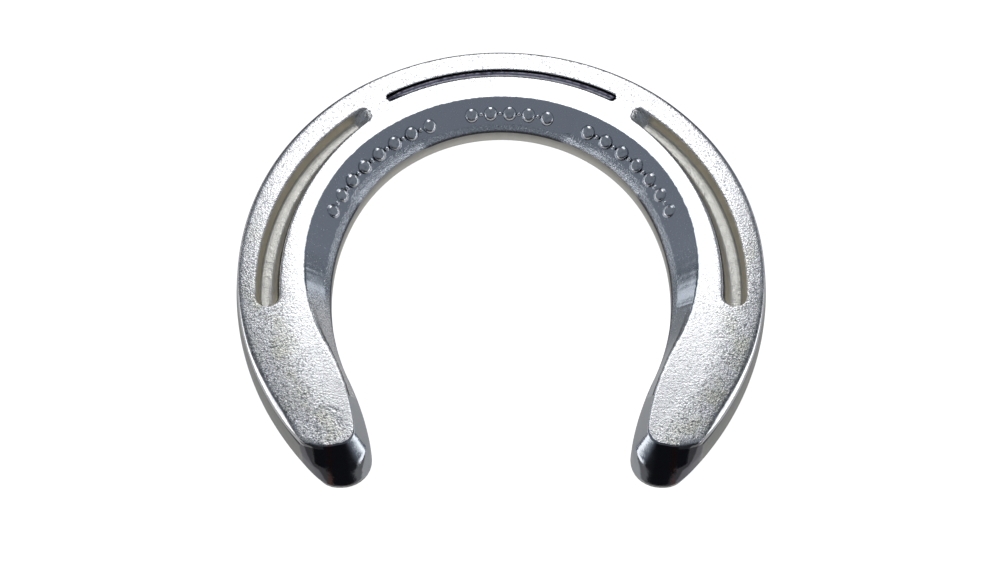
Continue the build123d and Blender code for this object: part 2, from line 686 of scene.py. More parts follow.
    def _seat(
        self, corner: dict[Level, Array], roll: Array, foot: Array, mirror: float
    ) -> list[Strip]:
        """Draw the seat, the land at its foot and the inner wall.

        Args:
            corner: The section's corners at the three levels.
            roll: The rounded edge above the seat.
            foot: The rounded edge at the hoof side.
            mirror: -1 on the left half, else 1.

        Returns:
            The strips between those two edges.
        """
        rim, base = corner[Level.GROUND], corner[Level.SEAT_FOOT]
        run = base - rim
        run_length = np.abs(run[:, 0]) + 1e-6
        places = self.stations.places(mirror)
        wobble = 0.85 + 0.35 * grain(places, 5.0, 3.1) + 0.2 * grain(places, 0.9, 7.7)
        width = np.minimum(self.land_width * wobble, 0.4 * run_length)
        land = self._land(mirror)
        rise = width * self.form.seat_depth / run_length
        step = base + np.stack((-width * np.sign(run[:, 0]), rise * (1.0 - 0.5 * land)), 1)
        lip = base + np.stack((np.zeros(len(land)), rise * 0.4 * land), 1)
        setback = 0.3 + 1.2 * smooth(-6.0, 8.0, self.stations.fanned)
        edge = eased_corner(step, lip, foot[:, 0], setback, 6)
        return [
            Strip(roll[:, :-1], Region.SEAT),
            Strip(between(roll[:, -1], step, steps(18)), Region.SEAT),
            Strip(between(step, edge[:, 0], steps(4)), Region.SEAT),
            Strip(edge[:, :-1], Region.SEAT),
            Strip(between(edge[:, -1], foot[:, 0], steps(7)), Region.INNER_WALL),
        ]

    def _grooved(self, side: Side, edge: Array) -> list[Strip]:
        """Draw the ground face from the mid-line out, with the groove that a station crosses.

        Args:
            side: The edge that they run towards.
            edge: Where the rounded edge begins.

        Returns:
            The strips inside and outside the groove's rim.
        """
        form, angle = self.form, self.stations.angle
        middle = form.middle(angle)
        if side is Side.OUTER:
            crease_half = form.crease_outer_radius - middle
        else:
            crease_half = middle - form.crease_inner(angle)
        crease_rim = crease_half * form.crease.fullness(angle, form.strip_radius)
        slot_rim = form.slot_width / 2.0 * form.slot.fullness(angle, form.strip_radius)
        rim = np.maximum(crease_rim, slot_rim)
        inside = rim[:, None] * np.array(self.groove_shares)
        shares = np.concatenate((self.rim_shares, np.linspace(0.12, 1.0, 12)[:-1]))
        outside = rim[:, None] + (edge[:, 0] - rim)[:, None] * shares[None, :]
        fallen = (form.thickness - edge[:, 1])[:, None]
        strips = []
        for distance, region in ((inside, Region.CREASE), (outside, Region.GROUND_FACE)):
            fall = np.zeros_like(distance)
            for groove, groove_rim in ((form.crease, crease_rim), (form.slot, slot_rim)):
                from_toe, from_heel = groove.end_distance(angle, form.strip_radius)
                lean = self.inner_lean if side is Side.INNER else self.outer_lean
                spread = np.interp(angle, (groove.heel_end, groove.toe_end), lean[::-1])[:, None]
                ends = np.minimum(from_toe, from_heel)[:, None]
                within = groove_rim[:, None] - distance
                past = -np.hypot(np.minimum(ends, 0.0), distance)
                deep = np.where(ends > 0.0, np.minimum(within, np.maximum(ends, 0.0)), past)
                drop = groove.drop(deep / spread, from_toe[:, None] + 0.0 * distance)
                fall = np.maximum(fall, drop)
            share = np.clip((distance - rim[:, None]) / (edge[:, 0] - rim)[:, None], 0.0, 1.0)
            height = form.thickness - np.where(fall > 1e-3, fall, 0.0) - fallen * share * share
            strips.append(Strip(np.stack((distance, height), 2), region))
        return strips

    def _lay(self, body: bmesh.types.BMesh, side: Side, mirror: float) -> None:
        """Add one side of one half to the mesh.

        Args:
            body: The mesh that is being made.
            side: The edge that the sections cross.
            mirror: -1 on the left half, else 1.
        """
        stations, strips = self.stations, self._sections(side, mirror)
        points = np.concatenate([strip.points for strip in strips], 1)
        regions = [strip.region for strip in strips for _ in range(strip.points.shape[1])]
        turn = np.radians(stations.turn[side])
        ray = np.stack((np.cos(turn), np.sin(turn)), 1)
        plan = stations.start[:, None, :] + points[:, :, :1] * ray[:, None, :]
        plan[:, :, 0] *= mirror
        count, across = points.shape[:2]
        grid = [
            [body.verts.new((x * MM, y * MM, z * MM)) for (x, y), z in zip(row, heights)]
            for row, heights in zip(plan.tolist(), points[:, :, 1].tolist())
        ]
        for i in range(count - 1):
            corner_passed = stations.fanned[i] >= self.heel_starts[side]
            for j in range(across - 1):
                region = regions[j]
                if corner_passed and region in self.heel_regions:
                    region = Region.HEEL
                loop = (grid[i][j], grid[i][j + 1], grid[i + 1][j + 1], grid[i + 1][j])
                face = body.faces.new(loop)
                face.material_index = region.value

    def _roughen(self, mesh: bpy.types.Mesh) -> None:
        """Press the casting's grain, marks and unevenness into the skin.

        Args:
            mesh: The body's mesh, whose points move inwards only.
        """
        count = len(mesh.vertices)
        place, normal = np.zeros(count * 3), np.zeros(count * 3)
        mesh.vertices.foreach_get("co", place)
        mesh.vertices.foreach_get("normal", normal)
        place, normal = place.reshape(-1, 3) / MM, normal.reshape(-1, 3)
        x, y, z = place.T
        up = normal[:, 2]
        ground = smooth(0.85, 0.97, up) * smooth(8.6, 9.2, z)
        hoof = smooth(-0.85, -0.97, up)
        side_wall = smooth(0.75, 0.5, np.abs(up))
        heelward = smooth(25.0, -45.0, y)
        outward = smooth(46.0, 62.0, np.hypot(x, y - HUB_Y))
        pebble = 0.5 + 0.5 * grain(place, 1.15, 1.3)
        lump = 0.5 + 0.5 * grain(place, 3.4, 4.9)
        swell = 0.5 + 0.5 * grain(place, 14.0, 8.2)
        press = ground * (0.002 + 0.004 * heelward + 0.02 * heelward * outward) * pebble
        press += ground * (0.006 + 0.012 * heelward) * lump
        press += side_wall * (0.03 * lump + 0.05 * swell) + hoof * (0.05 * pebble + 0.04 * lump)
        press += (1.0 - ground) * (1.0 - hoof) * 0.02 * swell
        press += ground * self._marks(place)
        place = place - normal * press[:, None]
        mesh.vertices.foreach_set("co", (place * MM).ravel())
        mesh.update()

    def _marks(self, place: Array) -> Array:
        """Shape the ejector's round mark on the left heel.

        Args:
            place: The skin's points in millimetres.

        Returns:
            How deep each point is pressed.
        """
        mark_x, mark_y, mark_radius = self.ejector_mark
        offset_x, offset_y = place[:, 0] - mark_x, place[:, 1] - mark_y
        radius = np.hypot(offset_x, offset_y)
        uneven = grain(place, 1.4, 6.3)
        swirl = np.sin(radius * 2.6 + 2.0 * np.arctan2(offset_y, offset_x) + 2.0 * uneven)
        dish = smooth(mark_radius, mark_radius - 0.9, radius + 0.5 * uneven)
        return dish * (0.07 + 0.03 * swirl + 0.05 * uneven)


@dataclass
class WearStrip:
    """The steel strip that is pressed into the slot across the toe.

    Its section is given as shares of the width, each with a fall below the top.
    """

    form: ShoeForm
    section: Arcs = (
        (-0.5, 4.2), (-0.5, 0.35), (-0.46, 0.1), (-0.38, 0.0), (-0.2, -0.02), (0.02, 0.0), (0.08, 0.12),
        (0.14, 0.26), (0.2, 0.24), (0.26, 0.05), (0.36, -0.04), (0.46, 0.06), (0.5, 0.3), (0.5, 4.2),
    )
    width: float = 1.5
    top: float = 9.22
    foot: float = 4.95
    half_turn: float = 29.2
    taper_turn: float = 4.2
    spacing: float = 0.45

    def build(self) -> bpy.types.Object:
        """Sweep the strip's section along the slot and dress it.

        Returns:
            The piece.
        """
        form = self.form
        count = round(2.0 * math.radians(self.half_turn) * form.strip_radius / self.spacing)
        turns = np.linspace(-self.half_turn, self.half_turn, count)
        strip = bmesh.new()
        rings = []
        for turn in turns:
            from_left = turn + self.half_turn
            taper = 0.3 + 0.7 * min(1.0, from_left / self.taper_turn)
            ragged = noise.noise(Vector((turn * 1.7, 0.0, 5.0))) * 0.05
            ring = []
            for share, fall in self.section:
                slant = (share + 0.5) * 0.9 * max(0.0, (turn - self.half_turn + 2.0) / 2.0)
                bearing = math.radians(90.0 - turn + slant)
                lip = ragged if 0.2 < share < 0.5 else 0.25 * ragged
                radius = form.strip_radius - (share * self.width * taper + lip)
                height = max(self.foot, self.top - fall - max(0.0, 0.3 - 0.1 * from_left))
                x = form.hub[0] + radius * math.cos(bearing)
                y = form.hub[1] + radius * math.sin(bearing)
                ring.append(strip.verts.new((x * MM, y * MM, height * MM)))
            rings.append(ring)
        for ring, following in zip(rings, rings[1:]):
            for j in range(len(ring)):
                k = (j + 1) % len(ring)
                strip.faces.new((ring[j], ring[k], following[k], following[j]))
        strip.faces.new(rings[0])
        strip.faces.new(rings[-1])
        for face in strip.faces:
            face.smooth = len(face.verts) == 4
        piece = made("wear_strip", strip, (StripFinish(),))
        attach(piece, "root")
        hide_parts("toe_insert")
        return piece


@dataclass
class SeatBorder:
    """A raised border on the seat: oval pearls, with a pip between neighbours."""

    form: ShoeForm
    name: str
    first: float
    last: float
    pitch: float = 4.3
    pearl_size: tuple[float, float] = (2.9, 3.7)
    pearl_profile: Arcs = ((-0.09, -0.1), (0.3, 0.3), (0.55, 0.5), (0.8, 0.59), (1.15, 0.63))
    pip_size: tuple[float, float] = (1.1, 1.1)
    pip_profile: Arcs = ((-0.09, -0.1), (0.25, 0.25), (0.42, 0.36))
    sides: int = 28
    centre_share: float = 0.47
    arc_radius: float = 40.0

    def __post_init__(self) -> None:
        """Measure the seat's rim and foot about the hub."""
        self._hub = np.array(self.form.hub)
        self._rim = self.form.outline(Level.GROUND).edge(Side.INNER)
        self._base = self.form.outline(Level.SEAT_FOOT).edge(Side.INNER)

    def _on_seat(self, bearing: float, down: float, rise: float) -> Triple:
        """Find a point on or above the seat.

        Args:
            bearing: The direction from the hub in degrees, 0 at the toe and positive right.
            down: The distance down the seat from the border's mid-line.
            rise: The height over the seat.

        Returns:
            The point in metres.
        """
        mirror = -1.0 if bearing < 0.0 else 1.0
        angle = np.array((90.0 - abs(bearing),))
        high = self._rim[self._rim[:, 1] > QUARTER_Y]
        low = self._base[self._base[:, 1] > QUARTER_Y]
        rim = float(reach(high, self._hub, angle)[0])
        base = float(reach(low, self._hub, angle)[0])
        run = rim - base
        slope = math.hypot(run, self.form.seat_depth)
        share = self.centre_share + down / slope
        radius = rim - run * share - rise * self.form.seat_depth / slope
        height = self.form.thickness - self.form.seat_depth * share + rise * run / slope
        turn = math.radians(90.0 - abs(bearing))
        x = self._hub[0] + mirror * radius * math.cos(turn)
        y = self._hub[1] + radius * math.sin(turn)
        return (x * MM, y * MM, height * MM)

    def _dome(
        self, body: bmesh.types.BMesh, middle: tuple[float, float], size: tuple[float, float], profile: Arcs
    ) -> None:
        """Raise one oval dome.

        Args:
            body: The mesh that is being made.
            middle: The dome's bearing in degrees, and its distance down from the mid-line.
            size: Its size along and down the seat.
            profile: Distances in from its edge, each with a height over the seat.
        """
        turns = 2.0 * np.pi * np.arange(self.sides) / self.sides
        loops = []
        for inset, rise in profile:
            along = (size[0] / 2.0 - inset) * np.cos(turns)
            down = (size[1] / 2.0 - inset) * np.sin(turns)
            bearings = middle[0] + np.degrees(along / self.arc_radius)
            loops.append(
                [
                    body.verts.new(self._on_seat(bearing, middle[1] + fall, rise))
                    for bearing, fall in zip(bearings.tolist(), down.tolist())
                ]
            )
        for lower, upper in zip(loops, loops[1:]):
            for i in range(self.sides):
                k = (i + 1) % self.sides
                body.faces.new((lower[i], lower[k], upper[k], upper[i]))
        body.faces.new(loops[0])
        body.faces.new(loops[-1])

    def build(self) -> bpy.types.Object:
        """Lay out the border's pearls and pips, and dress them.

        Returns:
            The piece.
        """
        body = bmesh.new()
        margin = math.degrees(self.pearl_size[0] / 2.0 / self.arc_radius)
        first, last = self.first + margin, self.last - margin
        count = round(math.radians(last - first) * self.arc_radius / self.pitch) + 1
        step = (last - first) / (count - 1)
        for i in range(count):
            self._dome(body, (first + i * step, 0.0), self.pearl_size, self.pearl_profile)
        for i in range(count - 1):
            self._dome(body, (first + (i + 0.5) * step, 0.0), self.pip_size, self.pip_profile)
        for face in body.faces:
            face.smooth = len(face.verts) == 4
        piece = made(self.name, body, (BorderFinish(),))
        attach(piece, "root")
        return piece


# --- shader tools


@dataclass(frozen=True)
class Signal:
    """A number inside a material. Arithmetic on it adds Math nodes."""

    graph: "Graph"
    socket: Socket

    def _math(self, operation: str, *values: "Signal | float") -> "Signal":
        """Add one Math node with the values as its inputs, and return its result."""
        return self.graph.number("ShaderNodeMath", {"operation": operation}, dict(enumerate(values)))

    def __add__(self, other: "Signal | float") -> "Signal":
        """Return self + other."""
        return self._math("ADD", self, other)

    __radd__ = __add__

    def __sub__(self, other: "Signal | float") -> "Signal":
        """Return self - other."""
        return self._math("SUBTRACT", self, other)

    def __rsub__(self, other: "Signal | float") -> "Signal":
        """Return other - self."""
        return self._math("SUBTRACT", other, self)

    def __mul__(self, other: "Signal | float") -> "Signal":
        """Return self * other."""
        return self._math("MULTIPLY", self, other)

    __rmul__ = __mul__

    def __pow__(self, other: float) -> "Signal":
        """Return self to the power of other."""
        return self._math("POWER", self, other)

    def __abs__(self) -> "Signal":
        """Return the size of self without its sign."""
        return self._math("ABSOLUTE", self)


class Graph:
    """A node tree that is being wired."""

    def __init__(self, tree: bpy.types.NodeTree) -> None:
        """Start with an empty tree."""
        self.tree = tree
        tree.nodes.clear()

    @cached_property
    def place(self) -> Socket:
        """The place on the piece, in millimetres."""
        coordinates = self.add("ShaderNodeTexCoord").outputs["Object"]
        inputs = {0: coordinates, "Scale": 1.0 / MM}
        return self.add("ShaderNodeVectorMath", {"operation": "SCALE"}, inputs).outputs[0]

    @cached_property
    def axes(self) -> tuple[Signal, Signal, Signal]:
        """The place's three coordinates."""
        return self.split(self.place)

    @cached_property
    def span(self) -> Signal:
        """The distance from the hub."""
        x, y, _ = self.axes
        return (x * x + (y - HUB_Y) ** 2.0) ** 0.5

    def add(self, kind: str, settings: dict | None = None, inputs: dict | None = None) -> bpy.types.Node:
        """Add one node.

        Args:
            kind: The node's type.
            settings: Its properties.
            inputs: A value, signal or socket for each input, by name or number.

        Returns:
            The node.
        """
        node = self.tree.nodes.new(kind)
        for key, value in (settings or {}).items():
            setattr(node, key, value)
        for key, value in (inputs or {}).items():
            socket = node.inputs[key]
            if isinstance(value, Signal):
                value = value.socket
            if isinstance(value, Socket):
                self.tree.links.new(value, socket)
            elif socket.type == "RGBA" and len(value) == 3:
                socket.default_value = (*value, 1.0)
            else:
                socket.default_value = value
        return node

    def number(self, kind: str, settings: dict | None, inputs: dict, output: int | str = 0) -> Signal:
        """Add one node and take a number from one of its outputs."""
        return Signal(self, self.add(kind, settings, inputs).outputs[output])

    def split(self, vector: Socket) -> tuple[Signal, ...]:
        """Split a vector into its three numbers."""
        parts = self.add("ShaderNodeSeparateXYZ", None, {0: vector}).outputs
        return tuple(Signal(self, part) for part in parts)

    def noise(self, size: float, detail: float = 2.0, warp: float = 0.0) -> Signal:
        """Add smooth noise of 0 to 1.

        Args:
            size: The width of one patch in millimetres.
            detail: How many finer layers are added.
            warp: How far the pattern is distorted.

        Returns:
            The noise.
        """
        inputs = {"Vector": self.place, "Scale": 1.0 / size, "Detail": detail, "Distortion": warp}
        return self.number("ShaderNodeTexNoise", {"noise_dimensions": "3D"}, inputs, 0)

    def ease(self, value: Signal, low: float, high: float) -> Signal:
        """Ease a number from 0 at low to 1 at high.

        Args:
            value: The number.
            low: Where the result is 0.
            high: Where it is 1.

        Returns:
            The eased number.
        """
        if low > high:
            return 1.0 - self.ease(value, high, low)
        settings = {"interpolation_type": "SMOOTHSTEP"}
        inputs = {"Value": value, "From Min": low, "From Max": high}
        return self.number("ShaderNodeMapRange", settings, inputs, "Result")

    def blend(self, share: Signal, first: Triple | Socket, last: Triple | Socket) -> Socket:
        """Mix two colours; share says how much of the second there is."""
        mix = self.add("ShaderNodeMix", {"data_type": "RGBA"}, {"Factor": share, 6: first, 7: last})
        return mix.outputs[2]

    def bump(self, height: Signal, depth: float) -> Socket:
        """Tilt the surface by a height, of which 1 stands for the depth in millimetres."""
        inputs = {"Height": height, "Distance": depth * MM, "Strength": 1.0}
        return self.add("ShaderNodeBump", None, inputs).outputs[0]


# --- finishes


@dataclass(frozen=True)
class Finish:
    """A finish that is wired from nodes."""

    name: str = "plain_metal"
    metallic: float = 1.0

    def dress(self, graph: Graph) -> dict:
        """Return the shader's inputs by name."""
        return {"Base Color": (0.9, 0.9, 0.9), "Roughness": 0.3}

    def material(self) -> bpy.types.Material:
        """Make the material, or find the one that is already made.

        Returns:
            The material.
        """
        known = bpy.data.materials.get(self.name)
        if known is not None:
            return known
        material = bpy.data.materials.new(self.name)
        material.use_nodes = True
        graph = Graph(material.node_tree)
        inputs = {"Metallic": self.metallic, **self.dress(graph)}
        shader = graph.add("ShaderNodeBsdfPrincipled", None, inputs)
        graph.add("ShaderNodeOutputMaterial", None, {"Surface": shader.outputs[0]})
        return material


@dataclass(frozen=True)
class GroundFinish(Finish):
    """Bright tumbled skin, pebbled towards the heels and the outer edge, with painted shade in its pits and
    a painted dark line where it falls away at the outer edge.
    """

    name: str = "ground_face_skin"
    colour: Triple = (0.97, 0.97, 0.98)
    # Painted shade: the dark colour laid into the pits and along the fallen brink.
    shade: Triple = (0.16, 0.17, 0.19)
    tarnish: Triple = (0.86, 0.86, 0.76)
    speck: Triple = (0.34, 0.34, 0.38)
    roughness: float = 0.13
    grain_size: float = 0.5
    grain_depth: float = 0.185

    def dress(self, graph: Graph) -> dict:
        """Return the shader's inputs by name."""
        x, y, z = graph.axes
        heelward = graph.ease(y, 28.0, -32.0)
        outward = graph.ease(graph.span + 2.5 * graph.ease(x, 4.0, -4.0), 50.5, 60.5)
        grains = graph.noise(self.grain_size, 2.0, 0.15)
        fine = graph.noise(0.24)
        patches = graph.noise(7.0, 3.0, 0.4)
        weight = 0.05 + 0.2 * outward + heelward * (0.08 + 0.5 * outward)
        # The pits are dented by the bump and also darkened in colour, a painted shade that grows towards
        # the heels and the outer edge.
        pits = graph.ease(graph.noise(0.46, 1.5), 0.58, 0.68) * (0.1 + 0.9 * heelward)
        height = (0.8 * grains + 0.55 * fine - 0.6 * pits) * weight
        tarnish = graph.ease(patches, 0.42, 0.68) * heelward * outward
        specks = graph.ease(graph.noise(0.5, 2.0, 0.8), 0.52, 0.64) * outward * 0.8
        worn = graph.blend(tarnish, self.colour, self.tarnish)
        specked = graph.blend(specks * (1.0 - heelward), worn, self.speck)
        # Painted shade: a dark line where the face falls away at its outer edge and at the crease rims.
        brink = graph.ease(z + 0.4 * grains, 9.44, 9.24) * outward
        return {
            "Base Color": graph.blend(0.8 * pits * weight + 0.7 * brink, specked, self.shade),
            "Roughness": self.roughness + 0.06 * heelward * patches + 0.04 * fine,
            "Normal": graph.bump(height, self.grain_depth),
        }


@dataclass(frozen=True)
class TonedFinish(Finish):
    """Metal in two tones, which follow uneven patches or the height."""

    colour: Triple = (0.9, 0.91, 0.93)
    shade: Triple = (0.74, 0.77, 0.82)
    patch: tuple[float, float, float] = (2.2, 2.0, 0.0)
    fine_size: float = 0.35
    fine_share: float = 0.3
    by_height: float = 0.0
    by_patch: float = 1.0
    tones: tuple[float, float] = (0.5, 0.8)
    roughness: tuple[float, float] = (0.09, 0.07)
    depth: float = 0.03

    def dress(self, graph: Graph) -> dict:
        """Return the shader's inputs by name."""
        patch = graph.noise(*self.patch)
        fine = graph.noise(self.fine_size)
        tone = graph.ease(graph.axes[2] * self.by_height + self.by_patch * patch, *self.tones)
        return {
            "Base Color": graph.blend(tone, self.colour, self.shade),
            "Roughness": self.roughness[0] + self.roughness[1] * patch,
            "Normal": graph.bump(patch + self.fine_share * fine, self.depth),
        }


@dataclass(frozen=True)
class RollFinish(TonedFinish):
    """Smooth bright metal of the rolled outer edge."""

    name: str = "rolled_edge"


@dataclass(frozen=True)
class SeatFinish(Finish):
    """Smooth dark-looking metal of the seat, with fine specks, painted dark shade lines at its foot and
    under its rim near the heels, and a painted darker patch along its middle stretch.
    """

    name: str = "seat_skin"
    colour: Triple = (0.79, 0.83, 0.89)
    # Painted shade: the darker tone laid over the seat's middle stretch to tone down the key softbox's
    # reflection there.
    deep: Triple = (0.42, 0.46, 0.51)
    speck: Triple = (0.93, 0.94, 0.97)
    # Painted shade: the near-black of the lines at the seat's foot and under its rim.
    line: Triple = (0.04, 0.04, 0.045)
    roughness: float = 0.16

    def dress(self, graph: Graph) -> dict:
        """Return the shader's inputs by name."""
        x, y, z = graph.axes
        specks = graph.ease(graph.noise(0.32, 2.0, 0.3), 0.62, 0.78)
        broad = graph.noise(1.6, 3.0, 0.5)
        drift = graph.noise(7.0)
        # Painted shade: a dark line at the seat's foot, in the corner with the inner wall, and another just
        # under the rim towards the heels.
        foot_shade_line = graph.ease(z, 4.95, 4.55)
        rim_shade_line = graph.ease(z, 8.1, 8.5) * graph.ease(z, 9.35, 9.1) * graph.ease(y, -12.0, -26.0)
        coarse = graph.ease(y, -7.0, -18.0) * graph.ease(x, 0.0, -1.0)
        # Painted shade: the seat is darkened between y 3 and -32, outside the coarse zone on the left, to
        # tone down a reflection.
        painted_shade_patch = graph.ease(y, 3.0, -8.0) * graph.ease(y, -32.0, -18.0) * (1.0 - coarse)
        lip = graph.ease(z, 5.9, 5.4) * (graph.noise(0.38) - 0.5)
        grains = graph.noise(0.55, 2.0, 0.4) * coarse
        plain = graph.blend(painted_shade_patch, self.colour, self.deep)
        skin = graph.blend(graph.ease(specks + 0.8 * coarse, 0.0, 1.0), plain, self.speck)
        height = 0.1 * specks + broad * 0.45 + drift + 7.0 * grains + 4.0 * lip
        return {
            "Base Color": graph.blend(0.92 * (foot_shade_line + rim_shade_line), skin, self.line),
            "Roughness": self.roughness + 0.12 * specks + 0.08 * drift,
            "Normal": graph.bump(height, 0.07),
        }


@dataclass(frozen=True)
class CreaseFinish(Finish):
    """Olive outer wall and a paler floor, with painted shade under the inner rim and where the outer wall
    meets the floor, and a toe end painted lighter.
    """

    name: str = "crease_skin"
    wall: Triple = (0.74, 0.67, 0.54)
    floor: Triple = (0.93, 0.91, 0.85)
    shadow: Triple = (0.07, 0.07, 0.06)
    # Painted light: the lighter tone of the crease's toe end.
    lit_toe_floor: Triple = (0.96, 0.96, 0.95)
    streak: Triple = (0.88, 0.86, 0.79)
    floor_height: float = 6.3
    mid_radius: float = 57.0
    toe_slope: float = 1.26

    def dress(self, graph: Graph) -> dict:
        """Return the shader's inputs by name."""
        x, y, z = graph.axes
        broad = graph.noise(2.6, 3.0, 0.4)
        streaks = graph.noise(0.8, 3.0, 1.2)
        fine = graph.noise(0.35)
        outer = graph.ease(graph.span, self.mid_radius, self.mid_radius + 0.6)
        wall = outer * graph.ease(z, self.floor_height + 0.3, self.floor_height + 0.6)
        # Painted shade: the inner wall darkens towards the rim, and a dark line runs where the outer wall
        # meets the floor.
        inner = (1.0 - outer) * graph.ease(z + 0.6 * fine, self.floor_height + 1.9, 9.0)
        corner = outer * graph.ease(abs(z - (self.floor_height + 0.25)), 0.4, 0.1)
        skin = graph.blend(wall, graph.blend(streaks, self.floor, self.streak), self.wall)
        # Painted light: the toe end is painted lighter and smoother, and loses the painted shade.
        toe_end = graph.ease(y - HUB_Y - self.toe_slope * abs(x), -2.0, 1.0)
        shadows = (0.9 * inner + 0.6 * corner) * (1.0 - toe_end)
        tone = graph.blend(toe_end, skin, self.lit_toe_floor)
        return {
            "Base Color": graph.blend(shadows, tone, self.shadow),
            "Roughness": 0.26 + 0.16 * fine - 0.2 * toe_end,
            "Normal": graph.bump(broad + 0.6 * streaks + 0.3 * fine, 0.14),
        }


@dataclass(frozen=True)
class InnerWallFinish(TonedFinish):
    """Warm grey wall, painted darker at its top edge and lighter towards its foot, as painted shade under
    the seat and a painted reflection of the floor.
    """

    name: str = "inner_wall_skin"
    colour: Triple = (0.47, 0.46, 0.43)
    shade: Triple = (0.88, 0.86, 0.80)
    patch: tuple[float, float, float] = (2.0, 3.0, 0.3)
    by_height: float = 1.0
    by_patch: float = 1.2
    # Painted shade and reflection: the darker colour at the top turns into the lighter one towards the
    # foot.
    tones: tuple[float, float] = (5.4, 1.2)
    roughness: tuple[float, float] = (0.26, 0.16)
    depth: float = 0.1


@dataclass(frozen=True)
class OuterWallFinish(TonedFinish):
    """Grey cast wall, a little green, in a grey darkened as painted shade, with a thin painted dark line of
    shade under the roll.
    """

    name: str = "outer_wall_skin"
    # Painted shade: the wall's base grey is darkened to stand for its darker reflection.
    colour: Triple = SHADED_WALL_GREY
    shade: Triple = (0.07, 0.075, 0.09)
    patch: tuple[float, float, float] = (2.4, 3.0, 0.3)
    fine_size: float = 0.4
    fine_share: float = 0.4
    by_height: float = 1.0
    by_patch: float = 0.25
    # Painted shade: the wall turns dark above about 7.1 mm, a thin dark line under the roll.
    tones: tuple[float, float] = (7.1, 7.7)
    roughness: tuple[float, float] = (0.22, 0.2)
    depth: float = 0.08


@dataclass(frozen=True)
class HeelFinish(Finish):
    """Glossy heel face in a dark colour that paints its dark reflection, with a painted warm reflection
    streak down its middle and a painted paler reflection towards its inner side.
    """

    name: str = "heel_face_skin"
    # Painted reflection: the dark base colour stands for the dark room that the heel faces mirror.
    colour: Triple = (0.26, 0.26, 0.29)
    pale: Triple = (0.62, 0.65, 0.69)
    streak: Triple = (0.46, 0.20, 0.16)
    reflection_streak_x: float = 40.2
    brink_x: float = 47.6

    def dress(self, graph: Graph) -> dict:
        """Return the shader's inputs by name."""
        x, y, _ = graph.axes
        ragged = graph.noise(0.9, 3.0)
        brink = abs(x) - 0.36 * (y + 49.0) + 0.9 * ragged
        outward = graph.ease(brink, self.brink_x + 0.3, self.brink_x + 0.7)
        broad = graph.noise(2.2, 3.0, 0.4)
        fine = graph.noise(0.3)
        # Painted reflection: a warm streak down the middle of the heel face.
        offset = abs(abs(x) - self.reflection_streak_x) + 2.2 * broad
        streak = graph.ease(offset, 2.1, 0.9)
        # Painted reflection: the face turns paler towards its inner side.
        inward = graph.ease(abs(x) + 1.2 * broad - 0.16 * (y + 54.0), 37.0, 34.6)
        skin = graph.blend(0.75 * streak, graph.blend(inward, self.colour, self.pale), self.streak)
        return {
            # The outer edge of the face takes the wall's painted-shade grey.
            "Base Color": graph.blend(outward, skin, SHADED_WALL_GREY),
            "Roughness": 0.07 + 0.06 * broad,
            "Normal": graph.bump(broad + 0.3 * fine, 0.04),
        }


@dataclass(frozen=True)
class HoofFinish(Finish):
    """Dull cast skin of the side that meets the hoof."""

    name: str = "hoof_face_skin"
    pebble_size: float = 0.9
    colour: Triple = (0.74, 0.74, 0.74)
    shade: Triple = (0.52, 0.52, 0.51)

    def dress(self, graph: Graph) -> dict:
        """Return the shader's inputs by name."""
        settings = {"feature": "SMOOTH_F1", "voronoi_dimensions": "3D"}
        inputs = {"Vector": graph.place, "Scale": 1.0 / self.pebble_size, "Smoothness": 0.6}
        pebbles = graph.number("ShaderNodeTexVoronoi", settings, inputs, "Distance")
        broad = graph.noise(5.0, 3.0, 0.5)
        return {
            "Base Color": graph.blend(graph.ease(broad, 0.35, 0.7), self.colour, self.shade),
            "Roughness": 0.34 + 0.16 * broad,
            "Normal": graph.bump(pebbles, 0.08),
        }


@dataclass(frozen=True)
class BorderFinish(TonedFinish):
    """Polished tops of the raised border."""

    name: str = "border_skin"
    colour: Triple = (0.90, 0.92, 0.95)
    shade: Triple = (0.70, 0.74, 0.80)
    patch: tuple[float, float, float] = (0.9, 2.0, 0.3)
    fine_size: float = 0.25
    fine_share: float = 0.4
    tones: tuple[float, float] = (0.4, 0.7)
    roughness: tuple[float, float] = (0.12, 0.14)
    depth: float = 0.06


@dataclass(frozen=True)
class StripFinish(Finish):
    """Ground steel of the wear strip, drawn along its length, tinted lavender as a painted reflection, with
    a painted shadow line along its outer edge and a painted highlight along its inner edge.
    """

    name: str = "strip_steel"
    # Painted reflection: the steel's grey is tinted lavender.
    colour: Triple = (0.52, 0.50, 0.62)
    shade: Triple = (0.24, 0.23, 0.30)
    # Painted shadow: the dark line along the strip's outer edge, at the gap in the slot.
    line: Triple = (0.03, 0.03, 0.035)
    # Painted highlight: the bright line along the strip's inner edge.
    lip: Triple = (0.88, 0.88, 0.92)

    def dress(self, graph: Graph) -> dict:
        """Return the shader's inputs by name."""
        broad = graph.noise(1.2, 3.0, 0.5)
        fine = graph.noise(0.2)
        span = graph.span + 0.5 * broad
        skin = graph.blend(graph.ease(broad, 0.45, 0.7), self.colour, self.shade)
        # Painted shadow at the outer edge, then a painted highlight at the inner edge.
        lined = graph.blend(graph.ease(span, 58.5, 58.75), skin, self.line)
        return {
            "Base Color": graph.blend(graph.ease(span, 57.95, 57.75), lined, self.lip),
            "Roughness": 0.3 + 0.2 * fine,
            "Normal": graph.bump(broad + 0.5 * fine, 0.08),
        }


